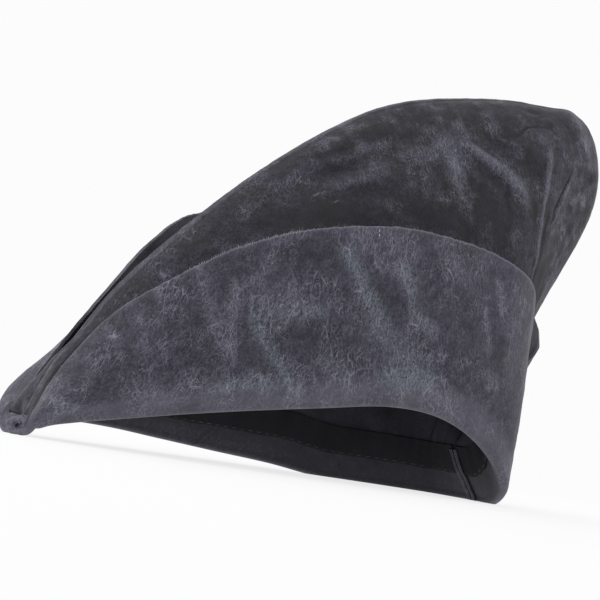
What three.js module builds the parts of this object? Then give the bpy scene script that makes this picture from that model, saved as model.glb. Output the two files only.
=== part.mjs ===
// A pointed leather hat: a wedge crown of two panels sewn along the ridge, and a
// deep brim of two bands, each folded up outside the crown as a tall wing.
// Millimetres, +Z up, the tip towards -Y, the wearer's left at +X. It stands on
// its tip, its right fold and its back, as it lies on a table.
import * as THREE from "three";

const WALL = 1.8; // leather thickness
const GAP = 0.3; // between the two halves, sewn edge to edge down the middle
const SEAM = 0.5; // between crown and brim, along the head seam
const FOLD = 7; // width of the rounded fold, between the middles of its two legs
const CENTRE_Y = 22.5; // where the middle of the length falls in the tables below

const STATIONS = 44; // sections from the tip to the middle of the back
const LEG = 4; // spans up the inner leg of a brim section,
const ARC = 6; // round its fold
const FLAP = 8; // and up its wing
const RISE = 12; // spans of a crown section

// Brim, one row per section from the tip to the middle of the back:
// fold x y z | top edge of the wing x y z | how far the wing bulges out |
// head seam: height above the fold, distance inside it
const BRIM_LEFT = [
  [0, -169, -0.7, 0, -168.5, 11, 0, 9, 4],
  [14, -167, 1, 13, -166.5, 13, 0.5, 10, 4],
  [20.5, -160, 7, 14, -159, 31, 5, 14, 8],
  [28, -147, 11.5, 15, -147, 52, 8, 19, 9],
  [38, -122, 18, 25, -130, 78, 8, 24, 10],
  [48, -89, 26, 42, -100, 106, 7, 30, 11],
  [56, -54, 33.5, 56, -70, 127.5, 6, 33, 12],
  [61, -11, 41.5, 67, -31, 144, 5, 34, 12],
  [64, 33, 49, 72, 20, 154.5, 4, 34, 13],
  [62, 70, 48.5, 73, 70, 154.5, 4, 34, 13],
  [57, 102, 40, 67, 107, 149.5, 3, 34, 14],
  [49, 130, 25, 54, 135, 142, 2, 32, 15],
  [38, 147, 9.5, 39, 151, 128, 1, 33, 17],
  [19, 156, -0.7, 17, 168, 107, 0, 34, 21],
  [0, 158, -0.7, 0, 179, 93, 0, 34, 24],
];
const BRIM_RIGHT = [
  [0, -169, -0.7, 0, -168.5, 11, 0, 9, 4],
  [-12, -171, 0, -12.5, -170, 12, 1, 10, 5],
  [-23, -166, 6, -14, -161, 26, 6, 14, 13],
  [-32, -152, 10, -15, -146, 53, 15, 17, 15],
  [-39, -122, 11.5, -26, -122, 87, 13, 21, 13],
  [-46, -90, 11, -37, -92, 125, 9, 24, 12],
  [-54, -54, 8.7, -55, -57, 151.5, 6, 26.8, 12],
  [-60, -11, 5.9, -68, -20, 159, 5, 30.6, 12],
  [-64, 33, 3.2, -73, 22, 160, 4, 34.3, 13],
  [-63, 70, -0.7, -73, 66, 157, 4, 34, 13],
  [-59, 102, -0.7, -68, 105, 151, 4, 34, 14],
  [-52, 130, -0.7, -58, 142, 144, 3, 34, 16],
  [-40, 149, -0.7, -33, 196, 139.5, -2, 34, 18],
  [-20, 156, -0.7, -12, 200, 114, -6, 34, 21],
  [0, 158, -0.7, 0, 179, 93, 0, 34, 24],
];
// Crown, one row per brim section. Each crown section is one curve from the head
// seam to the ridge seam: ridge y z | its start leans out, and rises | it reaches
// the ridge from x, y, z beside it
const CROWN = [
  [-166, 14, 0, 1.5, 0.5, 0, -1],
  [-160, 29, 0.7, 6, 4.5, 0, -1],
  [-153, 45, 0, 9, 5.5, 0, -2],
  [-141, 62, 1, 13, 7, 0, -3],
  [-121.5, 94, 4, 22, 9, 0, -4],
  [-87.5, 133.5, 7, 32, 11, 0, -5],
  [-45, 176.5, 9, 42, 14, 0, -5],
  [2, 215.5, 10, 50, 18, 0, -5],
  [45, 242, 11, 56, 22, 0, -5],
  [95, 258, 12, 62, 27, 0, -5],
  [150, 268, 12, 68, 32, 0, -4],
  [202, 265, 4, 58, 30, -6, -2],
  [218.5, 214, -3, 42, 22, -8, 0],
  [182, 130, -5, 28, 11, -3, 0],
  [142, 36, 1, 4, 1, 0, 0],
];

// Soft dents in the crown, one row each: t along the panel | v up it | reach along
// t and v | depth on the left panel, and on the right. Below zero it stands out.
const DENTS = [
  [0.83, 0.58, 0.045, 0.28, 3, 3], // the back falls in behind the rear corner
  [0.75, 0.6, 0.025, 0.3, -1.2, -1.2], // the rear corner
  [0.52, 0.67, 0.06, 0.07, 2.4, 1.2],
  [0.47, 0.82, 0.07, 0.07, -1, -0.6],
  [0.66, 0.56, 0.035, 0.16, 2, 1],
  [0.4, 0.5, 0.08, 0.2, 1.5, 2.2],
];

const along = (a, b, k) => a.map((v, i) => v + (b[i] - v) * k);
const plus = (a, b, k = 1) => a.map((v, i) => v + b[i] * k);
const minus = (a, b) => a.map((v, i) => v - b[i]);
const length = (a) => Math.hypot(...a);
const unit = (a) => a.map((v) => v / (length(a) || 1));
const cross = (a, b) => [
  a[1] * b[2] - a[2] * b[1],
  a[2] * b[0] - a[0] * b[2],
  a[0] * b[1] - a[1] * b[0],
];
const curve = (p, t) => {
  const s = 1 - t;
  return p[0].map(
    (_, i) =>
      s ** 3 * p[0][i] + 3 * s * s * t * p[1][i] + 3 * s * t * t * p[2][i] + t ** 3 * p[3][i],
  );
};

// A table row at t from 0 (the tip) to 1 (the back), smoothly between its rows.
function rowAt(table, t) {
  const n = table.length - 1;
  const s = Math.min(Math.max(t, 0), 1) * n;
  const i = Math.min(Math.floor(s), n - 1);
  const f = s - i;
  const a = table[i];
  const b = table[i + 1];
  const p = i > 0 ? table[i - 1] : along(b, a, 2);
  const q = i < n - 1 ? table[i + 2] : along(a, b, 2);
  return a.map(
    (v, k) =>
      0.5 *
      (2 * v +
        (b[k] - p[k]) * f +
        (2 * p[k] - 5 * v + 4 * b[k] - q[k]) * f * f +
        (3 * v - p[k] - 3 * b[k] + q[k]) * f ** 3),
  );
}

// The middle of the leather in one section of the brim: down the inner leg from
// the head seam, round the fold, and up the wing to its cut edge.
function brimSection(table, side, t) {
  const r = rowAt(table, t);
  const a = rowAt(table, t - 1e-3);
  const b = rowAt(table, t + 1e-3);
  let out = unit([(b[1] - a[1]) * side, (a[0] - b[0]) * side, 0]);
  if (t <= 0) out = [0, -1, 0];
  if (t >= 1) out = [0, 1, 0];
  const fold = r.slice(0, 3);
  const top = r.slice(3, 6);
  const [bulge, height, inset] = r.slice(6);
  const w = Math.min(FOLD, 0.9 * inset) / 2;
  const seam = plus(plus(fold, [0, 0, height]), out, -inset);
  const round = (angle) =>
    plus(
      plus(fold, [0, 0, WALL / 2 + w * (1 - Math.sin(angle))]),
      out,
      -w * Math.cos(angle),
    );
  const points = [];
  for (let i = 0; i < LEG; i++) {
    const f = i / LEG;
    points.push(
      plus(along(seam, round(0), f), out, -0.03 * height * Math.sin(Math.PI * f)),
    );
  }
  for (let i = 0; i <= ARC; i++) points.push(round((Math.PI * i) / ARC));
  const foot = round(Math.PI);
  const rise = length(minus(top, foot));
  const handles = [
    foot,
    plus(plus(foot, [0, 0, 0.34 * rise]), out, 1.33 * bulge),
    plus(along(top, foot, 0.33), out, 0.8 * bulge),
    top,
  ];
  for (let i = 1; i <= FLAP; i++) points.push(curve(handles, i / FLAP));
  return { points, seam, out };
}

// The middle of the leather in one section of the crown, from the head seam to
// the ridge seam.
function crownSection(table, side, t) {
  const { points, seam, out } = brimSection(table, side, t);
  const foot = plus(seam, unit(minus(points[0], points[1])), SEAM);
  const [y, z, lean, rise, dx, dy, dz] = rowAt(CROWN, t);
  const ridge = [0, y, z];
  const handles = [
    foot,
    plus(plus(foot, [0, 0, rise]), out, lean),
    [side * dx, y + dy, z + dz],
    ridge,
  ];
  return Array.from({ length: RISE + 1 }, (_, i) => curve(handles, i / RISE));
}

// The crown's grid of middle points, pressed in or out by its dents.
function dented(grid, side) {
  const m = grid.length - 1;
  const n = grid[0].length - 1;
  return grid.map((line, i) =>
    line.map((point, j) => {
      if (i === 0 || i === m || j === 0 || j === n) return point;
      const v = cross(minus(grid[i + 1][j], grid[i - 1][j]), minus(line[j + 1], line[j - 1]));
      let depth = 0;
      for (const [t, up, reachT, reachUp, left, right] of DENTS)
        depth +=
          (side > 0 ? left : right) *
          Math.exp(-(((i / m - t) / reachT) ** 2) - ((j / n - up) / reachUp) ** 2);
      depth *= Math.min(1, (4 * j) / n, (4 * (n - j)) / n);
      return plus(point, unit(v), -side * depth);
    }),
  );
}

// One closed piece of leather around a grid of its middle points. edgeNormals
// gives the leather's own direction on the crown's seam with the brim, so that
// the two cut edges face each other squarely.
function leather(grid, side, edgeNormals) {
  const m = grid.length;
  const n = grid[0].length;
  const at = (i, j) =>
    grid[Math.min(Math.max(i, 0), m - 1)][Math.min(Math.max(j, 0), n - 1)];
  const normal = (i, j) => {
    if (edgeNormals && j === 0) return edgeNormals[i];
    const v = cross(
      minus(at(i + 1, j), at(i - 1, j)),
      minus(at(i, j + 1), at(i, j - 1)),
    );
    if (i === 0 || i === m - 1) v[0] = 0; // cut square along the centre seams
    if (edgeNormals && j === n - 1) v[0] = 0;
    return unit(v);
  };
  const positions = [];
  const put = (p) => {
    // No piece crosses the middle, and the folds are pressed flat where they rest.
    const x = side * Math.max(side * p[0], GAP / 2);
    positions.push(x, p[1] - CENTRE_Y, Math.max(p[2], 0));
  };
  for (const face of [1, -1])
    for (let i = 0; i < m; i++)
      for (let j = 0; j < n; j++)
        put(plus(grid[i][j], normal(i, j), (face * WALL) / 2));
  const id = (face, i, j) => face * m * n + i * n + j;
  const index = [];
  const quad = (a, b, c, d) => index.push(a, b, c, a, c, d);
  for (let i = 0; i < m - 1; i++)
    for (let j = 0; j < n - 1; j++) {
      quad(id(0, i, j), id(0, i + 1, j), id(0, i + 1, j + 1), id(0, i, j + 1));
      quad(id(1, i, j), id(1, i, j + 1), id(1, i + 1, j + 1), id(1, i + 1, j));
    }
  for (let i = 0; i < m - 1; i++) {
    quad(id(0, i, 0), id(1, i, 0), id(1, i + 1, 0), id(0, i + 1, 0));
    quad(id(0, i, n - 1), id(0, i + 1, n - 1), id(1, i + 1, n - 1), id(1, i, n - 1));
  }
  for (let j = 0; j < n - 1; j++) {
    quad(id(0, 0, j), id(0, 0, j + 1), id(1, 0, j + 1), id(1, 0, j));
    quad(id(0, m - 1, j), id(1, m - 1, j), id(1, m - 1, j + 1), id(0, m - 1, j + 1));
  }
  let volume = 0;
  const p = (k) => positions.slice(3 * k, 3 * k + 3);
  for (let k = 0; k < index.length; k += 3) {
    const c = cross(p(index[k]), p(index[k + 1]));
    const q = p(index[k + 2]);
    volume += c[0] * q[0] + c[1] * q[1] + c[2] * q[2];
  }
  if (volume < 0)
    for (let k = 0; k < index.length; k += 3)
      [index[k + 1], index[k + 2]] = [index[k + 2], index[k + 1]];
  const geometry = new THREE.BufferGeometry();
  geometry.setAttribute("position", new THREE.Float32BufferAttribute(positions, 3));
  geometry.setIndex(index);
  geometry.computeVertexNormals();
  return geometry;
}

const hat = new THREE.Group();
function piece(name, geometry, color) {
  const mesh = new THREE.Mesh(
    geometry,
    new THREE.MeshStandardMaterial({ color, roughness: 0.7 }),
  );
  mesh.name = name;
  hat.add(mesh);
}

for (const [word, side, table] of [
  ["left", 1, BRIM_LEFT],
  ["right", -1, BRIM_RIGHT],
]) {
  const ts = Array.from({ length: STATIONS + 1 }, (_, i) => i / STATIONS);
  const brim = ts.map((t) => brimSection(table, side, t).points);
  const crown = dented(
    ts.map((t) => crownSection(table, side, t)),
    side,
  );
  // Across the head seam, the crown's wall continues the inner leg's.
  const square = ts.map((_, i) => {
    const a = brim[Math.max(i - 1, 0)][0];
    const b = brim[Math.min(i + 1, STATIONS)][0];
    const v = cross(minus(b, a), minus(brim[i][0], brim[i][1]));
    if (i === 0 || i === STATIONS) v[0] = 0;
    return unit(v);
  });
  piece("brim_" + word, leather(brim, side), 0x4a4952);
  piece("crown_" + word, leather(crown, side, square), 0x3f3e48);
}

export default hat;
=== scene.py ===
# %% [markdown]
# # A pointed leather hat
# The hat is four pieces of waxed leather: two crown panels that meet in a seam
# along the ridge, and two brim bands that are folded up outside the crown into
# tall wings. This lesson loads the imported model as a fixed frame, bends four flat
# patches of leather into the same four shapes with their creases, adds seams and
# stitches, and gives every surface its own leather. Everything is in metres in the
# end, but the tables are in millimetres, as a hatter would measure.

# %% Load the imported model
import math

import bpy
import numpy as np
from mathutils import Matrix, Quaternion, Vector, noise


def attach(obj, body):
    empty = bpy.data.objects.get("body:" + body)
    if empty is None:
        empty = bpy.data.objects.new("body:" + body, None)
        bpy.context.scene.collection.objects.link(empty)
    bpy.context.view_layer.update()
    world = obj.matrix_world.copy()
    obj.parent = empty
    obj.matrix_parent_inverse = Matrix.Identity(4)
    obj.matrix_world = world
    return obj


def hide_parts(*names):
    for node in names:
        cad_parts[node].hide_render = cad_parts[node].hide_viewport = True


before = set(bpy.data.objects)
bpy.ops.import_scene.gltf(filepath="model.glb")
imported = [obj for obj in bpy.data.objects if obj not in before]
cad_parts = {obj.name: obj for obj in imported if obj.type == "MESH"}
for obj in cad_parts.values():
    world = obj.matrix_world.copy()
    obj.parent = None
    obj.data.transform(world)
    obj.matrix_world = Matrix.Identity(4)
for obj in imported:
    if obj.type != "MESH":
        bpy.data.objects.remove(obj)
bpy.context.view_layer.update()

print("CAD nodes:", sorted(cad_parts))

# %% [markdown]
# ## The pattern of the hat
# A hat is drawn as sections from the tip to the middle of the back. Each brim row
# gives the fold, the top edge of the wing, how far the wing bulges, and where the
# head seam lies above and inside the fold. Each crown row gives the ridge and how
# the panel leaves the head seam and reaches the ridge. These are the same rows as
# the solids use, so that the looks stay where the solids are.

# %% Sizes and tables
MM = 0.001
WALL = 1.8  # leather thickness
GAP = 0.3  # between the two halves, sewn edge to edge down the middle
SEAM = 0.5  # between crown and brim, along the head seam
FOLD = 7  # width of the rounded fold
CENTRE_Y = 22.5  # where the middle of the length falls in the tables

# fold x y z | top edge x y z | bulge | head seam: height, distance inside the fold
BRIM = {
    "left": [
        [0, -169, -0.7, 0, -168.5, 11, 0, 9, 4],
        [14, -167, 1, 13, -166.5, 13, 0.5, 10, 4],
        [20.5, -160, 7, 14, -159, 31, 5, 14, 8],
        [28, -147, 11.5, 15, -147, 52, 8, 19, 9],
        [38, -122, 18, 25, -130, 78, 8, 24, 10],
        [48, -89, 26, 42, -100, 106, 7, 30, 11],
        [56, -54, 33.5, 56, -70, 127.5, 6, 33, 12],
        [61, -11, 41.5, 67, -31, 144, 5, 34, 12],
        [64, 33, 49, 72, 20, 154.5, 4, 34, 13],
        [62, 70, 48.5, 73, 70, 154.5, 4, 34, 13],
        [57, 102, 40, 67, 107, 149.5, 3, 34, 14],
        [49, 130, 25, 54, 135, 142, 2, 32, 15],
        [38, 147, 9.5, 39, 151, 128, 1, 33, 17],
        [19, 156, -0.7, 17, 168, 107, 0, 34, 21],
        [0, 158, -0.7, 0, 179, 93, 0, 34, 24],
    ],
    "right": [
        [0, -169, -0.7, 0, -168.5, 11, 0, 9, 4],
        [-12, -171, 0, -12.5, -170, 12, 1, 10, 5],
        [-23, -166, 6, -14, -161, 26, 6, 14, 13],
        [-32, -152, 10, -15, -146, 53, 15, 17, 15],
        [-39, -122, 11.5, -26, -122, 87, 13, 21, 13],
        [-46, -90, 11, -37, -92, 125, 9, 24, 12],
        [-54, -54, 8.7, -55, -57, 151.5, 6, 26.8, 12],
        [-60, -11, 5.9, -68, -20, 159, 5, 30.6, 12],
        [-64, 33, 3.2, -73, 22, 160, 4, 34.3, 13],
        [-63, 70, -0.7, -73, 66, 157, 4, 34, 13],
        [-59, 102, -0.7, -68, 105, 151, 4, 34, 14],
        [-52, 130, -0.7, -58, 142, 144, 3, 34, 16],
        [-40, 149, -0.7, -33, 196, 139.5, -2, 34, 18],
        [-20, 156, -0.7, -12, 200, 114, -6, 34, 21],
        [0, 158, -0.7, 0, 179, 93, 0, 34, 24],
    ],
}
# ridge y z | leans out, rises | reaches the ridge from x y z beside it
CROWN = [
    [-166, 14, 0, 1.5, 0.5, 0, -1],
    [-160, 29, 0.7, 6, 4.5, 0, -1],
    [-153, 45, 0, 9, 5.5, 0, -2],
    [-141, 62, 1, 13, 7, 0, -3],
    [-121.5, 94, 4, 22, 9, 0, -4],
    [-87.5, 133.5, 7, 32, 11, 0, -5],
    [-45, 176.5, 9, 42, 14, 0, -5],
    [2, 215.5, 10, 50, 18, 0, -5],
    [45, 242, 11, 56, 22, 0, -5],
    [95, 258, 12, 62, 27, 0, -5],
    [150, 268, 12, 68, 32, 0, -4],
    [202, 265, 4, 58, 30, -6, -2],
    [218.5, 214, -3, 42, 22, -8, 0],
    [182, 130, -5, 28, 11, -3, 0],
    [142, 36, 1, 4, 1, 0, 0],
]
# t along the panel | v up it | reach along t and v | depth on the left, on the right
DENTS = [
    [0.84, 0.6, 0.042, 0.24, 6.5, 3],
    [0.75, 0.6, 0.025, 0.3, -1.2, -1.2],
    [0.52, 0.67, 0.06, 0.07, 2.4, 1.2],
    [0.47, 0.82, 0.07, 0.07, -1, -0.6],
    [0.66, 0.56, 0.035, 0.16, 2, 1],
    [0.4, 0.5, 0.08, 0.2, 1.5, 2.2],
    [0.14, 0.6, 0.07, 0.3, 0, -1.6],
]
SIDE = {"left": 1, "right": -1}
print("sections:", len(CROWN), "crown rows and", len(BRIM["left"]), "rows a brim band")

# %% [markdown]
# ## From rows to smooth surfaces
# Between the rows the shape runs in smooth curves, so every point of a panel can
# be asked for by two numbers: t from 0 at the tip to 1 at the back, and a second
# one across the panel. Working on whole lists of points at once keeps it quick.

# %% Curves through the rows
UP = np.array([0.0, 0.0, 1.0])
LEG_END = 0.2  # share of a brim section in its inner leg
ARC_END = 0.3  # and up to the end of its fold


def row_at(table, t):
    """The table's row at each t, smoothly between its rows."""
    rows = np.array(table, float)
    rows = np.vstack([2 * rows[0] - rows[1], rows, 2 * rows[-1] - rows[-2]])
    s = np.clip(t, 0, 1) * (len(table) - 1)
    i = np.minimum(s.astype(int), len(table) - 2)
    f = (s - i)[:, None]
    p, a, b, q = rows[i], rows[i + 1], rows[i + 2], rows[i + 3]
    bend = 2 * p - 5 * a + 4 * b - q
    twist = 3 * a - p - 3 * b + q
    return 0.5 * (2 * a + (b - p) * f + bend * f**2 + twist * f**3)


def unit(a):
    return a / np.maximum(np.linalg.norm(a, axis=-1, keepdims=True), 1e-9)


def bezier(a, b, c, d, u):
    u = u[:, None]
    s = 1 - u
    return s**3 * a + 3 * s * s * u * b + 3 * s * u * u * c + u**3 * d


def outward(word, t):
    """Away from the head in plan, square to the fold."""
    a = row_at(BRIM[word], t - 1e-3)
    b = row_at(BRIM[word], t + 1e-3)
    out = unit(np.stack([(b - a)[:, 1], -(b - a)[:, 0], 0 * t], 1) * SIDE[word])
    for end, square in ((0, -1.0), (1, 1.0)):
        near = np.clip(1 - np.abs(t - end) / 0.02, 0, 1)[:, None]
        out = out * (1 - near) + np.array([0, square, 0]) * near
    return unit(out)


def brim_points(word, t, s):
    """The middle of the leather: down the inner leg, round the fold, up the wing."""
    r = row_at(BRIM[word], t)
    out = outward(word, t)
    fold, top = r[:, 0:3], r[:, 3:6]
    bulge, height, inset = r[:, 6:7], r[:, 7:8], r[:, 8:9]
    w = np.minimum(FOLD, 0.9 * inset) / 2
    seam = fold + UP * height - out * inset

    def around(angle):
        drop = WALL / 2 + w * (1 - np.sin(angle))
        return fold + UP * drop - out * w * np.cos(angle)

    f = np.clip(s / LEG_END, 0, 1)[:, None]
    start = around(np.zeros((len(t), 1)))
    leg = seam + (start - seam) * f - out * 0.03 * height * np.sin(math.pi * f)
    angle = np.clip((s - LEG_END) / (ARC_END - LEG_END), 0, 1)[:, None] * math.pi
    arc = around(angle)
    foot = around(np.full((len(t), 1), math.pi))
    rise = np.linalg.norm(top - foot, axis=1, keepdims=True)
    wing = bezier(
        foot,
        foot + UP * 0.34 * rise + out * 1.33 * bulge,
        top + (foot - top) * 0.33 + out * 0.8 * bulge,
        top,
        np.clip((s - ARC_END) / (1 - ARC_END), 0, 1),
    )
    s = s[:, None]
    return np.where(s < LEG_END, leg, np.where(s < ARC_END, arc, wing))


def crown_points(word, t, v):
    """The middle of the leather, from the head seam up to the ridge."""
    top = brim_points(word, t, 0 * t)
    below = brim_points(word, t, 0 * t + LEG_END / 4)
    foot = top + unit(top - below) * SEAM
    y, z, lean, rise, dx, dy, dz = row_at(CROWN, t).T
    out = outward(word, t)
    ridge = np.stack([0 * y, y, z], 1)
    return bezier(
        foot,
        foot + UP * rise[:, None] + out * lean[:, None],
        np.stack([SIDE[word] * dx, y + dy, z + dz], 1),
        ridge,
        v,
    )


peak = crown_points("left", np.linspace(0, 1, 101), np.ones(101))
print("peak of the ridge, mm:", [round(float(x), 1) for x in peak[peak[:, 2].argmax()]])

# %% [markdown]
# ## A fine net over each panel
# The net is laid so that its squares are about even in real size: t is spread by
# the length along the panel, and the rows crowd towards the ridge, where the sewn
# seam needs them. A net is kept as rows and columns of points, which makes the
# direction square to the leather easy to work out.

# %% Nets
CROWN_NET = (330, 124)  # squares along the panel, and up it
BRIM_NET = (310, 112)
LEG_ROWS, ARC_ROWS = 20, 12  # of the brim's 112: the inner leg's and the fold's
PINCH = 0.755  # the t of the crown's pinched crease


def spread(points_at, count, finer=0.0):
    """count + 1 values of t, evenly spaced by length, closer at the pinched crease."""
    t = np.linspace(0, 1, 1401)
    length = sum(
        np.linalg.norm(np.diff(points_at(t, 0 * t + v), axis=0), axis=1)
        for v in (0.05, 0.5, 0.95)
    )
    length = length * (1 + finer * np.exp(-(((t[1:] - PINCH) / 0.035) ** 2)))
    run = np.concatenate([[0], np.cumsum(length)])
    return np.interp(np.linspace(0, run[-1], count + 1), run, t)


def net(points_at, along, across):
    t, v = np.meshgrid(along, across, indexing="ij")
    return points_at(t.ravel(), v.ravel()).reshape(*t.shape, 3)


def grain_side(points, side):
    """Unit vectors square to the leather, on the side that shows."""
    n = np.cross(np.gradient(points, axis=0), np.gradient(points, axis=1))
    return unit(n * side)


def crowded(count, power):
    """count + 1 rows from 0 to 1, closer together towards 1."""
    return 1 - (1 - np.linspace(0, 1, count + 1)) ** power


brim_across = np.concatenate(
    [
        np.linspace(0, LEG_END, LEG_ROWS + 1)[:-1],
        np.linspace(LEG_END, ARC_END, ARC_ROWS + 1)[:-1],
        ARC_END + (1 - ARC_END) * crowded(BRIM_NET[1] - LEG_ROWS - ARC_ROWS, 1.25),
    ]
)
crown_across = crowded(CROWN_NET[1], 1.45)
print("brim net:", BRIM_NET, "crown net:", CROWN_NET)

# %% [markdown]
# ## Creases, dents and puckers
# Leather takes a memory of every bend. Each wrinkle is a short line on the panel
# with a width, a height and how much it is paled by rubbing; pull-up leather goes
# lighter wherever it is stretched, because the wax moves away. A wrinkle that is
# darker instead carries painted shade in its crease. Each cloud is a wider and softer
# spot or line that is only paler, darker or greener; some dark ones are painted shade.
# The places were read off the photograph, panel by panel, and are in thousandths.

# %% Wrinkle tables
# half width mm | height mm (below zero presses in) | pale from rubbing, below zero painted shade |
# (t, v), ...
WRINKLES = {
    "crown_left": [
        # the straight pinched crease down the back of the crown
        [0.8, 0.9, 1.5, (745, 610), (750, 570), (755, 530), (760, 492), (767, 462), (774, 434),
         (783, 408), (790, 385), (800, 350), (810, 320)],
        [2.2, 0.9, 0.7, (738, 690), (741, 658), (745, 608), (751, 568), (755, 530)],
        [1.6, -0.7, -0.8, (765, 530), (772, 480), (785, 440), (800, 390), (820, 340)],
        [3.5, -0.5, -0.4, (735, 550), (742, 500), (752, 460), (765, 410)],
        # the long slanting fold and its two dents
        [3, 1.3, 0.35, (629, 840), (635, 740), (643, 660), (670, 610), (690, 580)],
        [3, 1.5, 0.6, (643, 660), (658, 630), (672, 600), (688, 578)],
        [3.5, 1.2, 0.55, (688, 575), (703, 553), (719, 528), (737, 480)],
        [5, -1.3, -0.5, (655, 590), (672, 560), (690, 530), (705, 490)],
        [4, -0.9, -0.5, (655, 730), (672, 680), (690, 640)],
        # the soft hollow half-way up, between two long rolls
        [6, -1.6, -0.75, (478, 690), (490, 680), (507, 650), (525, 640)],
        [4, -1.1, -0.5, (475, 790), (485, 780), (500, 755), (520, 725)],
        [4, 1.0, 0.4, (470, 735), (489, 720), (513, 710), (535, 724), (590, 700)],
        [6, 1.0, 0.35, (490, 600), (510, 585), (530, 583), (552, 592)],
        [7, -1.2, -0.5, (505, 550), (530, 520), (550, 500), (580, 490)],
        # short sharp ones below the back end of the ridge, dark with painted shade
        [0.8, -0.9, -1.9, (694, 698), (700, 729), (706, 759), (712, 765)],
        [0.8, -0.5, -1.1, (680, 700), (688, 705), (697, 720)],
        [0.8, -0.4, -0.9, (700, 610), (715, 617), (730, 630)],
        [0.7, -0.5, -1.2, (710, 766), (721, 774), (733, 779)],
        [1.0, -0.5, -1.3, (672, 830), (678, 870), (680, 900)],
        [1.2, -0.5, -1.2, (731, 850), (719, 824), (712, 810)],
        # where the near wing's edge throws the foot of the crown into shade
        [1.6, -0.6, -2.0, (42, 226), (75, 472), (112, 513), (144, 578), (175, 603), (205, 673),
         (226, 688), (258, 648)],
        # the heel behind the straight crease, full of creases: a broken fold dark with painted shade,
        # a small knot, a notch
        [1.0, -0.8, -1.5, (780, 690), (784, 650), (781, 600), (779, 550), (780, 510)],
        [0.7, 0.5, 1.2, (785, 668), (789, 633), (787, 600)],
        [0.7, 0.4, 0.9, (787, 583), (787, 543), (785, 513)],
        [1.1, 0.6, 1.0, (794, 538), (803, 568), (815, 575), (823, 600), (831, 598), (825, 558)],
        [2.2, -0.8, -0.9, (802, 600), (810, 630), (822, 650)],
        [0.9, -0.8, -1.6, (817, 764), (823, 800), (829, 834)],
        [3.0, 0.9, 0.5, (770, 790), (786, 800), (806, 810)],
        [1.2, 0.7, 0.5, (678, 690), (690, 680), (700, 672)],
        [3.0, -1.2, -0.9, (700, 870), (712, 865), (725, 862)],
        [1.6, -0.6, -0.8, (822, 760), (830, 860), (840, 950)],
        [1.0, 0.5, 0.5, (783, 680), (788, 630), (788, 580), (787, 530)],
        [3.0, -1.0, -0.6, (584, 970), (586, 900), (584, 830)],
        [3, 0.8, 0.3, (840, 750), (850, 600), (860, 450)],
        [4, -0.9, -0.2, (880, 800), (880, 600), (890, 400)],
        # two dry scratches
        [0.5, 0.2, 1.0, (474, 594), (480, 590), (484, 586)],
        [0.6, 0.2, 1.2, (490, 535), (495, 528), (500, 527), (505, 518)],
    ],
    "crown_right": [
        # painted shade where the far panel turns away beside its own wing
        [1.3, -0.2, -1.4, (160, 840), (143, 800), (125, 770), (110, 710), (100, 670)],
        # the far panel's own creases, a guess from the near one's
        [2.4, 1.1, 0.7, (730, 740), (745, 580), (765, 420), (790, 240)],
        [7, -1.3, -0.2, (760, 700), (785, 500), (810, 340)],
        [4, 1.3, 0.5, (620, 680), (660, 580), (690, 460)],
        [6, -1.2, -0.3, (600, 600), (640, 500), (660, 400)],
        [8, 1.1, 0.3, (380, 820), (460, 760), (560, 700)],
        [7, -1.1, -0.3, (420, 660), (500, 600), (570, 600)],
        [3, 0.7, 0.3, (500, 500), (540, 440), (600, 420)],
        [3, 0.8, 0.3, (850, 700), (860, 520), (870, 400)],
        [1.2, -0.7, -0.8, (660, 700), (680, 740), (690, 780)],
    ],
    "brim_left": [
        # painted shade beside the rolled tip
        [0.9, -0.7, -1.8, (72, 980), (69, 800), (70, 590), (68, 350), (62, 130)],
        # the brim is smooth: only faint lines where it has been pressed in a stack
        [0.5, 0.1, 0.6, (549, 985), (549, 960)],
        [0.6, 0.15, 0.5, (303, 860), (307, 800), (313, 700)],
        [0.6, 0.15, 0.5, (323, 460), (327, 400), (330, 350)],
        [0.8, 0.15, 0.4, (262, 950), (270, 860), (280, 740)],
    ],
    "leg_right": [
        # the inner leg: a slanting joint in the band, and dimples where the thread pulls
        [0.9, -0.5, -0.7, (493, 111), (483, 174), (475, 250)],
        [1.2, 0.5, 0.35, (489, 115), (479, 175), (471, 250)],
        [0.9, -0.4, -0.5, (485, 115), (475, 175), (467, 250)],
        [2.0, 0.9, 0.35, (648, 110), (652, 135), (660, 160)],
        [2.0, -0.9, -0.3, (664, 110), (668, 140), (672, 170)],
        [2.0, 0.9, 0.35, (680, 112), (688, 135), (690, 160)],
        [2.0, -0.8, -0.3, (700, 110), (705, 140), (712, 170)],
        [2.0, 0.8, 0.3, (718, 112), (727, 140), (730, 165)],
    ],
    "leg_left": [
        # a ridge and a hollow where the thread pulls across the arched leg
        [2.0, 0.8, 0.3, (550, 112), (556, 140), (560, 165)],
        [2.0, -0.8, -0.3, (620, 112), (626, 140), (630, 165)],
    ],
}
print("wrinkles:", {name: len(rows) for name, rows in WRINKLES.items()})
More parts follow.
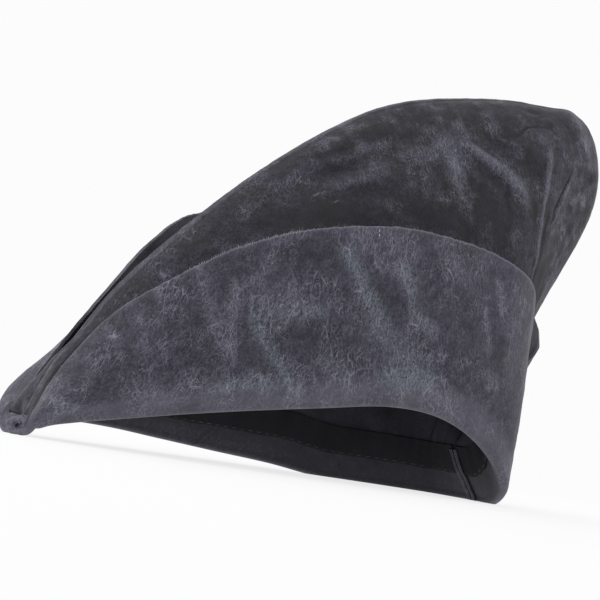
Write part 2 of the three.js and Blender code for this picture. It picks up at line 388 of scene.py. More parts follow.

# %% Cloud tables
# half width mm | pale from rubbing (below zero darker; painted shade where so marked) | faded
# greenish | (t, v), (t, v), ...
CLOUDS = {
    "brim_left": [
        # strands that run up the front half of the wing
        [4, 0.35, 0, (371, 970), (375, 740), (385, 500), (400, 280)],
        [4, 0.35, 0, (455, 950), (447, 840), (429, 770), (407, 690), (397, 530)],
        [3, 0.35, 0, (407, 800), (407, 670), (402, 480), (400, 360)],
        [3, 0.3, 0, (325, 1000), (329, 900), (337, 760)],
        [4, 0.25, 0, (300, 900), (310, 700), (305, 550)],
        [3, 0.3, 0, (262, 950), (279, 740)],
        # the nose, and the crackled back end of the wing
        [5, 0.35, 0, (130, 700), (150, 530), (170, 270), (190, 140)],
        [3, 0.35, 0.5, (180, 240), (200, 150), (215, 100)],
        [4, 0.3, 0, (170, 750), (190, 500), (210, 350)],
        [4, 0.25, 0, (205, 950), (228, 770), (245, 600)],
        [2.2, 0.5, 0, (690, 850), (703, 760), (712, 660)],
        [2, 0.5, 0, (678, 660), (690, 560), (700, 470)],
        [3, 0.4, 0, (730, 360), (740, 300)],
        [10, 0.2, 0, (740, 800), (755, 600), (770, 400)],
        [8, 0.2, 0, (660, 900), (650, 780), (660, 700)],
        # bright knots
        [7, 0.4, 0.1, (440, 660), (459, 650), (469, 580)],
        [6, 0.35, 0.3, (430, 560), (447, 530), (460, 550)],
        [4, 0.35, 0.7, (478, 530), (495, 520)],
        [6, 0.4, 0, (355, 200), (370, 160), (383, 130)],
        [6, 0.35, 0, (285, 170), (310, 130), (340, 90)],
        [5, 0.35, 0.2, (495, 220), (513, 140), (527, 60)],
        [7, 0.4, 0, (529, 920), (551, 920), (580, 880)],
        [6, 0.35, 0, (551, 780), (570, 760)],
        [6, 0.35, 0, (613, 940), (622, 860), (635, 810)],
        [4, 0.35, 0, (698, 830), (706, 780), (711, 740)],
        [4, 0.25, 0, (677, 620), (690, 500), (700, 430)],
        [4, 0.4, 0, (712, 330), (720, 290)],
        [5, 0.4, 0, (620, 90), (640, 60), (660, 40)],
        # greenish streaks that slant down towards the back
        [3.5, 0.3, 0.8, (423, 513), (433, 392), (445, 276), (463, 100), (473, 30)],
        [5, 0.4, 0.8, (521, 834), (529, 720), (537, 573), (545, 533)],
        [8, 0.4, 0.3, (545, 420), (560, 330), (585, 220)],
        [7, 0.3, 0.9, (565, 140), (590, 130), (610, 130)],
        [5, 0.4, 0.2, (572, 760), (580, 620), (587, 480), (609, 430)],
        [5, 0.25, 0.5, (390, 120), (420, 160), (440, 100)],
        [4, 0.2, 0.6, (575, 720), (582, 660)],
        # calm darker ground between them
        [9, -0.14, 0, (461, 860), (485, 800), (510, 720)],
        [6, -0.14, 0, (549, 640), (560, 550), (572, 480)],
        [8, -0.1, 0, (340, 550), (350, 400), (360, 300)],
        [6, -0.1, 0, (470, 380), (490, 360), (510, 340)],
        [6, -0.15, 0, (205, 800), (225, 650), (248, 500)],
        [6, -0.18, 0, (700, 620), (720, 520), (735, 420)],
        [5, -0.1, 0, (640, 700), (650, 600), (660, 500)],
    ],
    "crown_left": [
        # the crown: pale worn ground high up and along the folds
        [7, 0.3, 0, (490, 870), (510, 855), (530, 840)],
        [8, 0.3, 0, (609, 840), (615, 780), (620, 700)],
        [6, 0.45, 0.2, (615, 660), (627, 610), (635, 555)],
        [3, 0.3, 0.8, (625, 600), (633, 575)],
        [2, 0.4, 0.1, (633, 540), (640, 490), (652, 457), (660, 410)],
        [4, 0.35, 0.2, (680, 590), (695, 565), (712, 535)],
        [6, 0.25, 0, (668, 820), (667, 770), (666, 730)],
        [5, 0.35, 0, (725, 730), (737, 710), (740, 670)],
        [9, 0.4, 0, (765, 900), (785, 840), (810, 830)],
        [4, 0.35, 0, (821, 590), (835, 620)],
        [5, 0.25, 0, (815, 680), (825, 650)],
        [6, 0.3, 0, (575, 655), (590, 640), (603, 620)],
        [5, 0.25, 0, (570, 490), (580, 520)],
        [6, 0.3, 0, (440, 770), (458, 754), (470, 735)],
        [5, 0.25, 0, (405, 600), (413, 680), (416, 750)],
        [5, 0.25, 0, (550, 452), (565, 445)],
        # and the painted shade in its dents and behind the near wing
        [6, -0.4, 0, (360, 700), (385, 660), (410, 620), (435, 580), (465, 530), (505, 480),
         (545, 440), (593, 410), (646, 390), (709, 370)],
        [8, -0.4, 0, (800, 420), (815, 380), (835, 420)],
        [7, -0.5, 0, (538, 785), (556, 755)],
        [5, -0.5, 0, (450, 845), (465, 834)],
        [8, -0.5, 0, (427, 580), (455, 550), (483, 515), (510, 490)],
        [6, -0.35, 0, (572, 770), (588, 744)],
        [9, -0.6, 0, (676, 500), (695, 460), (701, 410)],
        [8, -0.5, 0, (586, 450), (603, 430), (629, 410)],
        [6, -0.5, 0, (678, 820), (685, 750), (690, 700)],
        [6, -0.4, 0, (705, 620), (725, 630)],
        [5, -0.6, 0, (784, 480), (800, 460), (815, 440)],
        [4, -0.6, 0, (774, 660), (776, 630)],
        [4, -0.5, 0, (808, 520), (822, 490)],
        [5, 0.5, 0, (829, 780), (830, 710)],
        [3, 0.4, 0, (765, 740), (775, 770)],
        [4, 0.35, 0, (800, 680), (808, 700)],
        [5, -0.35, 0, (740, 860), (755, 820), (765, 760)],
    ],
    "brim_right": [
        # a guess from the near side's clouds
        [9, 0.4, 0.2, (270, 700), (300, 600), (330, 450)],
        [10, 0.35, 0.7, (520, 750), (550, 600), (570, 400)],
        [9, 0.35, 0.1, (680, 850), (720, 750), (760, 500)],
        [8, 0.3, 0.0, (420, 900), (440, 600), (420, 300)],
        [9, -0.3, 0.0, (480, 900), (500, 500), (470, 250)],
        [9, -0.3, 0.0, (620, 900), (630, 600), (660, 350)],
    ],
    "crown_right": [
        # a guess from the near side's clouds
        [9, 0.35, 0.4, (600, 800), (620, 740), (640, 600)],
        [9, 0.3, 0.0, (430, 650), (470, 600)],
        [9, -0.5, 0.0, (530, 750), (560, 600)],
        [8, -0.5, 0.0, (680, 600), (710, 450)],
        [8, 0.35, 0.0, (780, 850), (800, 700), (820, 600)],
    ],
}
print("clouds:", {name: len(rows) for name, rows in CLOUDS.items()})

# %% [markdown]
# ## How a wrinkle, a wave and a cloud reach the net
# A wrinkle is a smooth hill across its line, and fades out at both ends. Noise from
# Blender's own library gives the soft waves; it depends only on the place, so the
# leather comes out the same every time.

# %% Hills, noise and lines


def smooth(x, low, high):
    """0 at low, 1 at high, and a soft step between them."""
    x = np.clip((x - low) / (high - low), 0, 1)
    return x * x * (3 - 2 * x)


def hill(x, place, reach):
    """1 at this place, fading to nothing past its reach on both sides."""
    return np.exp(-(((x - place) / reach) ** 2))


def fluff(points, size, seed, octaves=3):
    """Soft noise of about -1 to 1, in lumps this many millimetres across."""
    shift = Vector((seed, 7.3 * seed, 3.1 * seed))
    flat = points.reshape(-1, 3) / size
    values = [noise.fractal(Vector(p) + shift, 1.0, 2.0, octaves) for p in flat]
    return np.array(values).reshape(points.shape[:2])


def from_line(points, line):
    """Each point's distance from a line in space, and how far along it that is."""
    best = np.full(points.shape[:2], 1e9)
    place = np.zeros(points.shape[:2])
    for k in range(len(line) - 1):
        a, d = line[k], line[k + 1] - line[k]
        f = np.clip(((points - a) @ d) / (d @ d), 0, 1)
        gap = np.linalg.norm(points - a - f[..., None] * d, axis=2)
        place = np.where(gap < best, (k + f) / (len(line) - 1), place)
        best = np.minimum(best, gap)
    return best, place


def drawn(stops):
    """The t and v of points close together along a line of stops in thousandths."""
    stops = np.array(stops) / 1000
    k = np.linspace(0, len(stops) - 1, 5 * len(stops))
    return (np.interp(k, range(len(stops)), stops[:, c]) for c in (0, 1))


print("wave test:", round(float(fluff(np.ones((1, 1, 3)), 45, 3)[0, 0]), 4))

# %% Wrinkles and clouds on a net


def wrinkled(name, points, points_at):
    """Heights, paleness and painted crease shade that this panel's wrinkles give each point of its
    net.
    """
    height, pale = np.zeros(points.shape[:2]), np.zeros(points.shape[:2])
    for width, tall, wear_and_shade, *stops in WRINKLES.get(name, []):
        gap, place = from_line(points, points_at(*drawn(stops)))
        fade = np.sqrt(np.clip(np.sin(math.pi * np.clip(place, 0.02, 0.98)), 0, 1))
        bump = hill(gap, 0, width) * fade
        height += tall * bump
        pale += wear_and_shade * bump
    return height, pale


def clouded(name, points, points_at):
    """Paleness, darkness (some of it painted shade) and green fading that this panel's clouds give
    each point.
    """
    pale, green = np.zeros(points.shape[:2]), np.zeros(points.shape[:2])
    uneven = 1 + 0.55 * fluff(points, 16, 31)
    for width, wear_and_shade, faded, *stops in CLOUDS.get(name, []):
        gap, _ = from_line(points, points_at(*drawn(stops)))
        spot = hill(gap, 0, width) * uneven
        pale += wear_and_shade * spot
        green += faded * spot
    return pale, green


print("panels with wrinkles:", list(WRINKLES))

# %% [markdown]
# ## Bending flat leather into a panel
# Each panel starts as a flat grid, the leather as it lies on the bench. Its
# vertices are moved to the net, and the Solidify modifier gives it the hide's
# thickness, with one material for the side that shows, one for the flesh side and
# one for the cut edge. Sculpting could do it too, but only the net keeps the looks
# on the solids. Last, the middle seams are trimmed, and the folds that rest on the
# table are pressed flat.

# %% Lay the grid on its net


def deselect():
    for o in bpy.context.selected_objects:
        o.select_set(False)


def flat_patch(name, squares):
    deselect()
    bpy.ops.mesh.primitive_grid_add(x_subdivisions=squares[0], y_subdivisions=squares[1], size=1)
    patch = bpy.context.object
    patch.name = patch.data.name = name
    return patch


def corners(mesh):
    """The places of a mesh's vertices, as rows of x, y and z."""
    co = np.zeros(len(mesh.vertices) * 3, np.float32)
    mesh.vertices.foreach_get("co", co)
    return co.reshape(-1, 3)


def lay(patch, points, side, fields):
    """Moves the grid's vertices to the net and keeps each field as an attribute."""
    flat = corners(patch.data)
    columns, rows = (np.unique(np.round(flat[:, c], 5)) for c in (0, 1))
    i = np.searchsorted(columns, flat[:, 0] - 1e-4)
    j = np.searchsorted(rows, flat[:, 1] - 1e-4)
    co = (points[i, j] - [0, CENTRE_Y, 0]) * MM
    patch.data.vertices.foreach_set("co", co.astype(np.float32).ravel())
    for field, values in fields.items():
        attribute = patch.data.attributes.new(field, "FLOAT", "POINT")
        attribute.data.foreach_set("value", values[i, j].astype(np.float32))
    if side < 0:
        bpy.ops.object.mode_set(mode="EDIT")
        bpy.ops.mesh.select_all(action="SELECT")
        bpy.ops.mesh.flip_normals()
        bpy.ops.object.mode_set(mode="OBJECT")
    patch.data.update()


print("a patch is", BRIM_NET[0] * BRIM_NET[1], "squares for a brim band")

# %% Thicken, trim and finish


def thicken(patch, thickness, materials):
    """Gives the patch its wall, with materials for the grain side, flesh side and edge."""
    for material in materials:
        patch.data.materials.append(material)
    wall = patch.modifiers.new("leather", "SOLIDIFY")
    wall.thickness, wall.offset = thickness * MM, 0
    if len(materials) == 3:
        wall.material_offset, wall.material_offset_rim = 1, 2
    bpy.ops.object.modifier_apply(modifier=wall.name)


def trim(patch, side=0):
    """Keeps a half on its own side of the middle, and presses the rest flat."""
    co = corners(patch.data)
    if side:
        co[:, 0] = side * np.maximum(side * co[:, 0], GAP / 2 * MM)
    co[:, 2] = np.maximum(co[:, 2], 0)
    patch.data.vertices.foreach_set("co", co.ravel())
    patch.data.update()


def finish_piece(piece, slot, *nodes, angle=40):
    """Shades a piece, fixes it to the hat's one body, and hides the model's parts that it replaces.
    """
    deselect()
    piece.select_set(True)
    bpy.context.view_layer.objects.active = piece
    bpy.ops.object.shade_smooth_by_angle(angle=math.radians(angle))
    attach(piece, "root")
    if nodes:
        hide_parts(*nodes)
    print(f"{piece.name}: {len(piece.data.polygons)} faces")


def sown(first, name, places):
    """Copies a small piece to each place, each copy with its own mesh, as one piece."""
    copies = [first]
    for _ in places[1:]:
        copies.append(bpy.data.objects.new(name, first.data.copy()))
        bpy.context.scene.collection.objects.link(copies[-1])
    for copy, place in zip(copies, places):
        copy.data.transform(place)
        copy.select_set(True)
    bpy.context.view_layer.objects.active = first
    bpy.ops.object.join()
    first.name = first.data.name = name
    return first


print("bench ready")

# %% [markdown]
# ## Colours and the one node function
# Colours are picked as sRGB hex values, as a paint card gives them, and
# turned linear once. One small function adds a node, sets its properties, and sets
# or links its inputs, so that a material reads like a recipe.

# %% Material helpers


def colour(hex_value):
    """A linear colour from an sRGB hex value."""
    parts = [int(hex_value[k : k + 2], 16) / 255 for k in (1, 3, 5)]
    linear = [c / 12.92 if c < 0.04045 else ((c + 0.055) / 1.055) ** 2.4 for c in parts]
    return (*linear, 1.0)


def add(tree, kind, inputs=None, **settings):
    """Adds a node. An input is set to a value, or linked if it's given a node."""
    node = tree.nodes.new("ShaderNode" + kind)
    for name, value in settings.items():
        setattr(node, name, value)
    for key, value in (inputs or {}).items():
        live = [s for s in node.inputs if s.enabled]
        socket = live[key] if isinstance(key, int) else next(s for s in live if s.name == key)
        if isinstance(value, bpy.types.Node):
            value = next(s for s in value.outputs if s.enabled)
        if isinstance(value, bpy.types.NodeSocket):
            tree.links.new(value, socket)
        else:
            socket.default_value = value
    return node


def per(mm):
    """How many times a pattern of this size in millimetres fits in a metre."""
    return 1000 / mm


def material(name, settings):
    """A new material, its nodes, and its shader with these settings."""
    made = bpy.data.materials.new(name)
    made.use_nodes = True
    shader = made.node_tree.nodes["Principled BSDF"]
    for setting, value in settings.items():
        shader.inputs[setting].default_value = value
    return made, made.node_tree, shader


print("charcoal is", [round(c, 4) for c in colour("#4a4952")])

# %% [markdown]
# ## Waxed pull-up leather
# The hide is drum-dyed blue-black, then filled with oils and wax. Where it bends
# or rubs, the wax draws away and pale broken strands and clouds show, some a little
# green. The strands are the edges of long cells a few millimetres across, in three
# sizes, that lean with the way the hide was stretched over the block. They gather
# in clusters, and wherever the attribute of rubbing and painted shade says so. A
# scanned picture of leather could do this, but noise and cells need no file and fit
# any size.

# %% Pale strands
# cell size mm | squash along the strand | half its width mm | broken every mm
STRANDS = ((7.0, 0.32, 0.2, 5.5), (3.4, 0.45, 0.16, 3.0), (1.7, 0.7, 0.13, 2.0))
CLUSTER = 20  # millimetres between clusters of strands


def broken_lines(tree, leaning, size, squash, half, broken):
    """Thin broken lines along the edges of long cells."""
    long = add(tree, "Mapping", {"Vector": leaning, "Scale": (1.0, 1.0, squash)})
    cell = {"Vector": long, "Scale": per(size)}
    cells = add(tree, "TexVoronoi", cell, feature="DISTANCE_TO_EDGE")
    thin = {"Value": cells, "From Max": half / size, "To Min": 1.0, "To Max": 0.0}
    line = add(tree, "MapRange", thin)
    gaps = add(tree, "TexNoise", {"Vector": long, "Scale": per(broken), "Detail": 1.0})
    gaps = add(tree, "MapRange", {"Value": gaps, "From Min": 0.42, "From Max": 0.58})
    return add(tree, "Math", {0: line, 1: gaps}, operation="MULTIPLY")


def strands(tree, place, pushed, tone_field, faint, strong):
    """All the strands, and the leaning coordinates that they follow."""
    # upright towards the tip, slanting down to the back behind it
    x, y, z = add(tree, "SeparateXYZ", {"Vector": pushed}).outputs
    lean = add(tree, "Math", {0: y, 1: 3.0, 2: 0.1}, operation="MULTIPLY_ADD")
    slid = add(tree, "Math", {0: z, 1: lean, 2: y}, operation="MULTIPLY_ADD")
    leaning = add(tree, "CombineXYZ", {0: x, 1: slid, 2: z})
    soft = {"Vector": place, "Scale": per(CLUSTER), "Detail": 3.0, "Roughness": 0.6}
    soft = add(tree, "TexNoise", soft)
    stretch = {"Value": soft, "From Min": 0.46, "From Max": 0.64, "To Min": faint}
    cluster = add(tree, "MapRange", stretch)
    cluster = add(tree, "Math", {0: tone_field, 1: 1.5, 2: cluster}, operation="MULTIPLY_ADD")
    cluster = add(tree, "MapRange", {"Value": cluster, "From Max": 1.0, "To Max": strong})
    lines = broken_lines(tree, leaning, *STRANDS[0])
    for layer in STRANDS[1:]:
        finer = broken_lines(tree, leaning, *layer)
        lines = add(tree, "Math", {0: lines, 1: finer}, operation="MAXIMUM")
    return add(tree, "Math", {0: lines, 1: cluster}, operation="MULTIPLY"), leaning


print("strand sizes, mm:", [size for size, *_ in STRANDS])

# %% [markdown]
# ## The dye, the wear and the wax
# The base colour is built in layers, mostly as the tannery and the wearer made it:
# a cloudy dye, a fine grit of wax, a green cast where it has faded, pale rubbing and
# handling, partly painted light, the strands, and last the dark of deep creases,
# gaps and the inner leg, which is painted shade, with some darker ground. The grain
# is a fine pebble in the bump, and the wax gives a soft, broad shine that grows
# towards the edges of each shape, which is sheen over a fairly rough surface.

# %% The grain side
DYE, DRIFT, MOTTLE, GRIT, PEBBLE = 34, 16, 5, 1.5, 1.1  # mm, from slow clouds to grain
PUSH = (3.5 * MM,) * 3  # how far the drift bends the strands


def waxed_grain(name, deep, middle, vein, faint, strong, patchy, grain):
    sheen = {"Sheen Weight": 0.12, "Sheen Roughness": 0.45, "Sheen Tint": colour("#e4e6f2")}
    made, tree, shader = material(name, {"IOR": 1.45, "Specular IOR Level": 0.3, **sheen})
    place = add(tree, "TexCoord").outputs["Object"]
    drift = add(tree, "TexNoise", {"Vector": place, "Scale": per(DRIFT), "Detail": 1.0})
    push = {0: drift.outputs["Color"], 1: PUSH, 2: place}
    pushed = add(tree, "VectorMath", push, operation="MULTIPLY_ADD")
    fields = (add(tree, "Attribute", attribute_name=n) for n in ("wear_and_shade", "faded", "handled_and_lit"))
    tone_field, faded, hands_and_light = (field.outputs["Fac"] for field in fields)
    veins, leaning = strands(tree, place, pushed, tone_field, faint, strong)
    # where | size mm | detail | roughness | stretched from, to | to run from, to
    noises = {
        "dye": (pushed, DYE, 5.0, 0.62, 0.5 - patchy, 0.5 + patchy, 0.0, 1.0),
        "mottle": (pushed, MOTTLE, 3.0, 0.6, 0.34, 0.66, 1 - grain, 1 + grain),
        "grit": (leaning, GRIT, 2.0, 0.6, 0.38, 0.62, 0.0, 1.0),
    }
    soft, sharp = {}, {}
    for layer, (at, size, detail, rough, low, high, least, most) in noises.items():
        lumps = {"Vector": at, "Scale": per(size), "Detail": detail, "Roughness": rough}
        soft[layer] = add(tree, "TexNoise", lumps)
        stretch = {"From Min": low, "From Max": high, "To Min": least, "To Max": most}
        sharp[layer] = add(tree, "MapRange", {"Value": soft[layer], **stretch})
    # the cloudy dye, darkened and lightened by the mottle and the grit
    slow, speck = sharp["dye"], sharp["grit"]
    fine = add(tree, "MapRange", {"Value": speck, "To Min": 1 - grain, "To Max": 1 + grain})
    fine = add(tree, "Math", {0: fine, 1: sharp["mottle"]}, operation="MULTIPLY")
    dye = {"Factor": slow, "A": colour(deep), "B": colour(middle)}
    base = add(tree, "Mix", dye, data_type="RGBA")
    base = add(tree, "VectorMath", {0: base, "Scale": fine}, operation="SCALE")
    # what each layer covers, and its colour
    green = add(tree, "Math", {0: faded, 1: speck}, operation="MULTIPLY")
    green = add(tree, "MapRange", {"Value": green, "To Max": 0.85})
    pale = add(tree, "MapRange", {"Value": tone_field, "To Max": 0.75})
    some = add(tree, "MapRange", {"Value": speck, "To Min": 0.35, "To Max": 1.0})
    pale = add(tree, "Math", {0: pale, 1: some}, operation="MULTIPLY")
    # below zero the field darkens the leather: painted shade of creases, gaps and the inner leg, and
    # darker ground
    darkening_range = {"Value": tone_field, "From Min": 0.0, "From Max": -1.0, "To Max": 0.8}
    shade_and_dark_tone = add(tree, "MapRange", darkening_range)
    # the layer of handling is partly painted light
    layers = (
        (green, "#4f6166"), (pale, "#6a6977"), (hands_and_light, "#6f6e7a"), (veins, vein), (shade_and_dark_tone, "#15141b")
    )
    for share, hex_value in layers:
        over = {"Factor": share, "A": base, "B": colour(hex_value)}
        base = add(tree, "Mix", over, data_type="RGBA")
    tree.links.new(base.outputs[2], shader.inputs["Base Color"])
    rough = add(tree, "MapRange", {"Value": slow, "To Min": 0.56, "To Max": 0.7})
    tree.links.new(rough.outputs[0], shader.inputs["Roughness"])
    pebble = add(tree, "TexVoronoi", {"Vector": place, "Scale": per(PEBBLE)}, feature="SMOOTH_F1")
    relief = add(tree, "Math", {0: pebble, 1: 0.45, 2: soft["grit"]}, operation="MULTIPLY_ADD")
    relief = add(tree, "Math", {0: veins, 1: -0.5, 2: relief}, operation="MULTIPLY_ADD")
    bump = add(tree, "Bump", {"Height": relief, "Distance": 0.4 * MM, "Strength": 0.6})
    tree.links.new(bump.outputs[0], shader.inputs["Normal"])
    return made


# deep dye, lighter dye, strands | strands: faint, strong | contrast of the dye, of the grain
brim_grain = waxed_grain(
    "waxed_pullup_leather_brim", "#2d2b34", "#373540", "#9a98a6", 0.15, 0.5, 0.14, 0.36
)
crown_grain = waxed_grain(
    "waxed_pullup_leather_crown", "#151419", "#292731", "#8a8795", 0.1, 0.55, 0.1, 0.5
)
print("grain leathers:", brim_grain.name, crown_grain.name)

# %% [markdown]
# ## Flesh side, cut edges and thread
# The flesh side is the inner face of the hide, a short nap with no shine. It is
# darker inside the crown, which is painted shade, than behind the wings, where it is
# paler with dust and painted light. A raw cut edge shows the fibres of the hide, paler
# and dry, because the dye and wax don't reach the middle; on the far wing it has been
# dyed. The turned seam allowances are skived thin and lie in the dark, so they are
# coloured nearly black, which is painted shade. Threads and loose fibres are the same
# kind of thing at a smaller size, so all eight come from fine noise as long as a fibre.

# %% Fibrous materials
DUST = 30  # millimetres across the slow patches of dust


def fibrous(name, deep, light, fibre_mm, rough, depth):
    """A dry fibrous surface: fibre length and bump depth in millimetres."""
    made, tree, shader = material(name, {"Roughness": rough, "Specular IOR Level": 0.25})
    place = add(tree, "TexCoord").outputs["Object"]
    long = {"Vector": place, "Scale": per(fibre_mm), "Detail": 6.0, "Roughness": 0.7}
    fibre = add(tree, "TexNoise", long)
    soft = add(tree, "TexNoise", {"Vector": place, "Scale": per(DUST), "Detail": 3.0})
    both = add(tree, "Math", {0: fibre, 1: soft}, operation="MULTIPLY")
    share = add(tree, "MapRange", {"Value": both, "From Min": 0.14, "From Max": 0.36})
    tones = {"Factor": share, "A": colour(deep), "B": colour(light)}
    base = add(tree, "Mix", tones, data_type="RGBA")
    tree.links.new(base.outputs[2], shader.inputs["Base Color"])
    bump = add(tree, "Bump", {"Height": fibre, "Distance": depth * MM, "Strength": 0.6})
    tree.links.new(bump.outputs[0], shader.inputs["Normal"])
    return made


# the crown's flesh side is darker with painted shade, the wings' paler with dust and painted light
flesh = fibrous("suede_flesh_side_crown_painted_shade", "#26252b", "#3d3c44", 1.2, 0.92, 0.3)
wing_flesh = fibrous("suede_flesh_side_brim_dust_and_light", "#5c5b63", "#807f88", 1.2, 0.92, 0.3)
cut_edge = fibrous("raw_cut_leather_edge", "#5f5e66", "#b6b5bc", 0.8, 0.9, 0.3)
dyed_edge = fibrous("dyed_cut_leather_edge", "#3a3940", "#75747c", 0.8, 0.9, 0.3)
# nearly black: painted shade for the turned strips that lie in the dark
turned_leather = fibrous("skived_turned_leather_painted_shade", "#0d0c10", "#17161b", 1.6, 0.85, 0.3)
thread = fibrous("waxed_nylon_thread", "#1c1b21", "#37363f", 0.5, 0.5, 0.1)
dry_fibre = fibrous("dry_hide_fibres", "#74737a", "#bdbcc2", 0.5, 0.9, 0.1)
pale_thread = fibrous("loose_cotton_thread", "#8f8f96", "#c9c9cf", 0.5, 0.85, 0.1)
print("materials so far:", [made.name for made in bpy.data.materials if made.use_nodes])

# %% [markdown]
# ## The brim bands
# Each band runs down inside the head opening, round the fold and up as a wing. The
# wing waves a little, the thread of the head seam pulls small puckers into the
# inner leg, and the middle seams roll inwards where they are sewn. The knife left
# the top edge slightly ragged.

# %% Puckers and waves
RIPPLE = 13.0  # millimetres between puckers along the head seam
PUCKER = 0.55  # how far the thread pulls the leather
SEAM_LENGTH = 400  # of the head seam on one side, about
nets, panels = {}, {}


def puckers(t, word):
    """How far the head seam's thread pulls the leather in or out at t."""
    run = t * SEAM_LENGTH / RIPPLE * 2 * math.pi
    wander = 2.2 * np.sin(9.1 * t + SIDE[word]) + 1.4 * np.sin(23.7 * t)
    return PUCKER * np.sin(run + wander) * smooth(t, 0.08, 0.2) * smooth(t, 1.0, 0.94)


def pulled(points, word, t, amount):
    """Moves points towards or away from the head by a share of the puckers."""
    pull = puckers(t, word) * amount
    return points + outward(word, t.ravel()).reshape(points.shape) * pull[..., None]


def wing_waves(points, side, t, s, up_wing):
    """Slow and small waves of a wing, held still by its sewn ends."""
    wing = smooth(s, ARC_END, ARC_END + 0.12)
    ends = smooth(t, 0.0, 0.06) * smooth(t, 1.0, 0.95)
    slow = fluff(points, 55, 3 + side) * (0.25 + 0.75 * smooth(up_wing, 1.0, 0.75))
    return wing * ends * (slow + 0.22 * fluff(points, 9, 11 + side))


print("puckers on each side:", round(SEAM_LENGTH / RIPPLE))

# %% Seams and edges of a brim band


def rolled_seams(points, normals, t, s):
    """The seams at the tip and the back roll inwards."""
    roll = hill(points[..., 0], 0, 1.6)
    roll = roll * (1.3 * smooth(t, 0.06, 0.0) + 1.1 * smooth(t, 0.93, 1.0))
    return points - normals * (roll * (s > LEG_END))[..., None]


def settle(points, side, t, s, up_wing):
    """The near fold steps up behind the rolled tip; the far wing has dropped there."""
    if side > 0:
        points[..., 2] += 2.0 * hill(t, 0.094, 0.02) * hill(s, 0.25, 0.09)
    else:
        points[..., 2] -= 2.0 * hill(t, 0.3, 0.06) * smooth(up_wing, 0.4, 1.0)


def cut_ragged(points, side):
    """Moves the last four rows of the wing up or down, as the knife wandered."""
    edge = points[:, -1:]
    ragged = 0.5 * fluff(edge, 3.2, 5 + side, 2) + 0.3 * fluff(edge, 14, 8, 2)
    lift = unit(points[:, -1] - points[:, -4])
    for back in range(4):
        points[:, -1 - back] += lift * ragged * (4 - back) / 4


def brim_handling_and_light(points, side, t, out_of_shade, up_wing):
    """Paler along the fold, at the edge and at the nose: wear, with painted light along the fold and
    on the far cheek.
    """
    # the band along the fold: wear, and painted light from the floor
    handled_and_lit = 0.27 * out_of_shade * smooth(up_wing, 0.19, 0.06) * (1 + 0.35 * fluff(points, 14, 9))
    handled_and_lit += 0.6 * smooth(up_wing, 0.985, 1.0) + 0.12 * smooth(up_wing, 0.93, 1.0)
    if side > 0:
        nose = 0.15 * out_of_shade * smooth(t, 0.2, 0.1)
        return handled_and_lit + nose * (1 + 0.6 * fluff(points, 5, 27))
    # the far wing's front by the tip: painted light on its cheek
    return handled_and_lit + 0.2 * smooth(t, 0.22, 0.12)


print("ready to shape the brim")

# %% Shape the brim bands
for word, side in SIDE.items():
    name = "brim_" + word
    band = lambda t, s, word=word: brim_points(word, t, s)
    on_wing = lambda t, v, word=word: brim_points(word, t, ARC_END + (1 - ARC_END) * v)
    along = spread(band, BRIM_NET[0])
    points = net(band, along, brim_across)
    normals = grain_side(points, side)
    t, s = np.meshgrid(along, brim_across, indexing="ij")
    up_wing = np.clip((s - ARC_END) / (1 - ARC_END), 0, 1)
    on_leg = s < LEG_END + 0.05
    height, wear_and_shade = wrinkled(name, points, on_wing)
    leg_height, leg_wear_and_shade = wrinkled("leg_" + word, points, band)
    height += wing_waves(points, side, t, s, up_wing) + leg_height * on_leg
    points = points + normals * height[..., None]
    points = pulled(points, word, t, np.exp(-s / (0.4 * LEG_END)) * (s < LEG_END))
    points = rolled_seams(points, normals, t, s)
    settle(points, side, t, s, up_wing)
    cut_ragged(points, side)
    # the inner leg is in the shade, and darkest at its top and towards the back
    out_of_shade = smooth(s, LEG_END + 0.01, LEG_END + 0.05)
    deep = 0.5 + 0.4 * smooth(s, 0.19, 0.1) + 0.8 * smooth(t, 0.45, 0.75)
    handled_and_lit = brim_handling_and_light(points, side, t, out_of_shade, up_wing)
    pale, faded = clouded(name, points, on_wing)
    wear_and_shade = (wear_and_shade + pale) * out_of_shade + leg_wear_and_shade * on_leg - deep * (1 - out_of_shade)
    nets[name] = (points, grain_side(points, side), t, s)
    panels[name] = {"wear_and_shade": wear_and_shade, "faded": faded * out_of_shade, "handled_and_lit": handled_and_lit}
    print(name, "net", points.shape, "highest mm", round(float(points[..., 2].max()), 1))

# %% Cut and thicken the brim bands
for word, side in SIDE.items():
    name = "brim_" + word
    patch = flat_patch(name + "_leather", BRIM_NET)
    lay(patch, nets[name][0], side, panels[name])
    thicken(patch, WALL, (brim_grain, wing_flesh, cut_edge if side > 0 else dyed_edge))
    trim(patch, side)
    finish_piece(patch, "brim_leather", name)

# %% [markdown]
# ## The crown panels
# The two crown panels carry most of the creases. Along the ridge they are sewn
# inside out and turned, so the leather rolls into a narrow valley, with the pressed
# seam allowance showing as a low raised band about 4 mm wide on each side. Hands
# have left the heel behind the straight crease mottled. The valley and the top are
# darkened with painted shade, and the front is lit with painted light.

# %% Waves, seam, wear, painted light and painted shade of a crown panel


def crown_waves(points, side, t, below, to_ridge):
    """How free the panel is to wave and crease, and its slow waves."""
    free = smooth(to_ridge, 2, 26) * smooth(below, 0, 20) * smooth(t, 0.0, 0.08)
    free = free * smooth(t, 1.0, 0.96) * (1 - 0.5 * smooth(t, 0.78, 0.84))
    return free, 1.5 * fluff(points, 42, 6 + side) + 0.5 * fluff(points, 15, 2 + side)


def crown_swell(side, t, v, below, to_ridge):
    """The far panel nearly touches its wing by the tip; the near one has a corner."""
    if side > 0:
        return 1.4 * hill(t, 0.757, 0.01) * smooth(v, 0.78, 0.95)
    swell = 1.7 * hill(t, 0.09, 0.06) + 2.2 * hill(t, 0.062, 0.026)
    return swell * smooth(to_ridge, 0.5, 5) * smooth(below, 0, 3)


